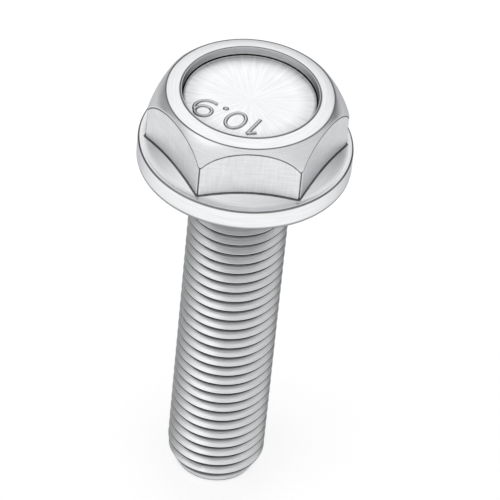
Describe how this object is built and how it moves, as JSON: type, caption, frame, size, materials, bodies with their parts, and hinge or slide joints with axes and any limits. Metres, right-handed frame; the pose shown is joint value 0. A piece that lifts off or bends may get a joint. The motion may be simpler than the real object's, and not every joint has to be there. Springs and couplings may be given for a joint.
{
  "type": "blade bolt",
  "caption": "Hex flange bolt with a recessed round top and a fully threaded shank, used to clamp a cutting blade to its spindle.",
  "frame": {"origin": "centre of the bearing face under the flange, on the bolt's axis", "axes": "+Z along the axis towards the head, the shank runs to -Z, +X through one corner of the hexagon"},
  "size_m": [0.021, 0.021, 0.0485],
  "materials": {
    "plated_steel": "bright zinc plate over forged steel, turned rings on the top, satin flats"
  },
  "bodies": {
    "root": {"flange_bolt": "plated_steel"}
  },
  "joints": []
}
